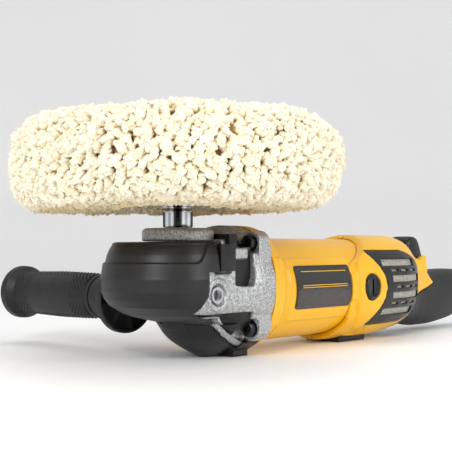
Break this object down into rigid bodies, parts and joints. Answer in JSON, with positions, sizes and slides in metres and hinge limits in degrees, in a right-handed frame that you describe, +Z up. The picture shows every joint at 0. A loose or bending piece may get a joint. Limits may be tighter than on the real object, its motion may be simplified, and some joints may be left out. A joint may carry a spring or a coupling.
{
  "type": "rotary polisher",
  "caption": "Corded rotary polisher lying on its crown, wool pad up, with geared head, rubber boot, side handle, vented yellow body, trigger and rear handle.",
  "frame": {"origin": "middle of the crown's flat foot, on the surface that the tool rests on", "axes": "+X back to the rear handle, +Y to the side handle, +Z up, parallel to the spindle, with the pad on top"},
  "size_m": [0.537, 0.312, 0.173],
  "materials": {
    "cast_aluminium": "as-cast, fine grain",
    "yellow_shell": "moulded, satin gloss",
    "rubber": "moulded, soft sheen",
    "black_plastic": "moulded, satin",
    "steel": "machined",
    "dark_steel": "blackened",
    "chrome": "polished",
    "copper": "enamelled wire",
    "lamination": "stacked sheet",
    "carbon": "sintered",
    "filter_mesh": "woven strip",
    "label": "printed film, no text",
    "wool": "twisted wool tufts"
  },
  "bodies": {
    "housing": {"gear_case": "cast_aluminium", "spindle_retainer": "cast_aluminium", "intermediate_plate": "cast_aluminium", "motor_housing": "yellow_shell", "handle_shell_near": "yellow_shell", "handle_shell_far": "yellow_shell", "front_boot": "rubber", "crown_foot": "rubber", "rear_foot": "rubber", "rear_grip": "rubber", "side_handle_guard": "rubber", "side_handle_grip": "rubber", "cord_gland": "rubber", "brush_holder_near": "black_plastic", "brush_holder_far": "black_plastic", "brush_cap_near": "black_plastic", "brush_cap_far": "black_plastic", "vent_frame_near": "black_plastic", "vent_frame_far": "black_plastic", "control_module": "black_plastic", "switch_body": "black_plastic", "bearing_spindle_upper": "steel", "bearing_spindle_lower": "steel", "bearing_layshaft_front": "steel", "bearing_layshaft_rear": "steel", "bearing_armature_front": "steel", "bearing_armature_rear": "steel", "spindle_lock_spring": "steel", "trigger_spring": "steel", "side_handle_stud": "steel", "flange_screw_1": "dark_steel", "flange_screw_2": "dark_steel", "flange_screw_3": "dark_steel", "flange_screw_4": "dark_steel", "stator_windings": "copper", "stator_core": "lamination", "carbon_brush_near": "carbon", "carbon_brush_far": "carbon", "filter_mesh_near": "filter_mesh", "filter_mesh_far": "filter_mesh", "label_near": "label", "label_far": "label"},
    "spindle": {"spindle": "steel", "ring_gear": "steel", "pad_adapter": "chrome", "pad_hub": "black_plastic", "pad_nut": "steel", "wool_pad": "wool"},
    "layshaft": {"layshaft": "steel", "layshaft_gear": "steel", "bevel_pinion": "steel"},
    "armature": {"armature_shaft": "steel", "armature_core": "lamination", "commutator": "copper", "cooling_fan": "black_plastic"},
    "trigger": {"trigger": "black_plastic"},
    "speed_dial": {"speed_dial": "black_plastic"},
    "spindle_lock": {"spindle_lock_button": "black_plastic"},
    "lock_on": {"lock_on_button": "black_plastic"}
  },
  "joints": [
    {"name": "spindle_spin", "type": "hinge", "parent": "housing", "child": "spindle", "pos_m": [-0.046, 0, 0], "axis": [0, 0, 1], "continuous": true},
    {"name": "layshaft_spin", "type": "hinge", "parent": "housing", "child": "layshaft", "pos_m": [-0.046, 0, 0.02925], "axis": [1, 0, 0], "continuous": true},
    {"name": "armature_spin", "type": "hinge", "parent": "housing", "child": "armature", "pos_m": [-0.046, 0, 0.048], "axis": [1, 0, 0], "continuous": true},
    {"name": "trigger_pull", "type": "hinge", "parent": "housing", "child": "trigger", "pos_m": [0.257, 0, 0.062], "axis": [0, 1, 0], "range_deg": [0, 8], "stiffness_Nm_per_rad": 0.6, "springref_deg": -11.46, "deforming": ["trigger_spring"]},
    {"name": "speed_dial_turn", "type": "hinge", "parent": "housing", "child": "speed_dial", "pos_m": [0.178, 0, 0.01], "axis": [0, 1, 0], "range_deg": [0, 270]},
    {"name": "spindle_lock_press", "type": "slide", "parent": "housing", "child": "spindle_lock", "axis": [0, 1, 0], "range_m": [0, 0.0045], "stiffness_N_per_m": 900, "springref_m": -0.004, "deforming": ["spindle_lock_spring"]},
    {"name": "lock_on_press", "type": "slide", "parent": "housing", "child": "lock_on", "axis": [0, -1, 0], "range_m": [0, 0.002], "stiffness_N_per_m": 900, "springref_m": -0.003}
  ],
  "couplings": [
    {"joint": "layshaft_spin", "follows": "spindle_spin", "ratio": -3.4444},
    {"joint": "armature_spin", "follows": "spindle_spin", "ratio": 8.037}
  ]
}
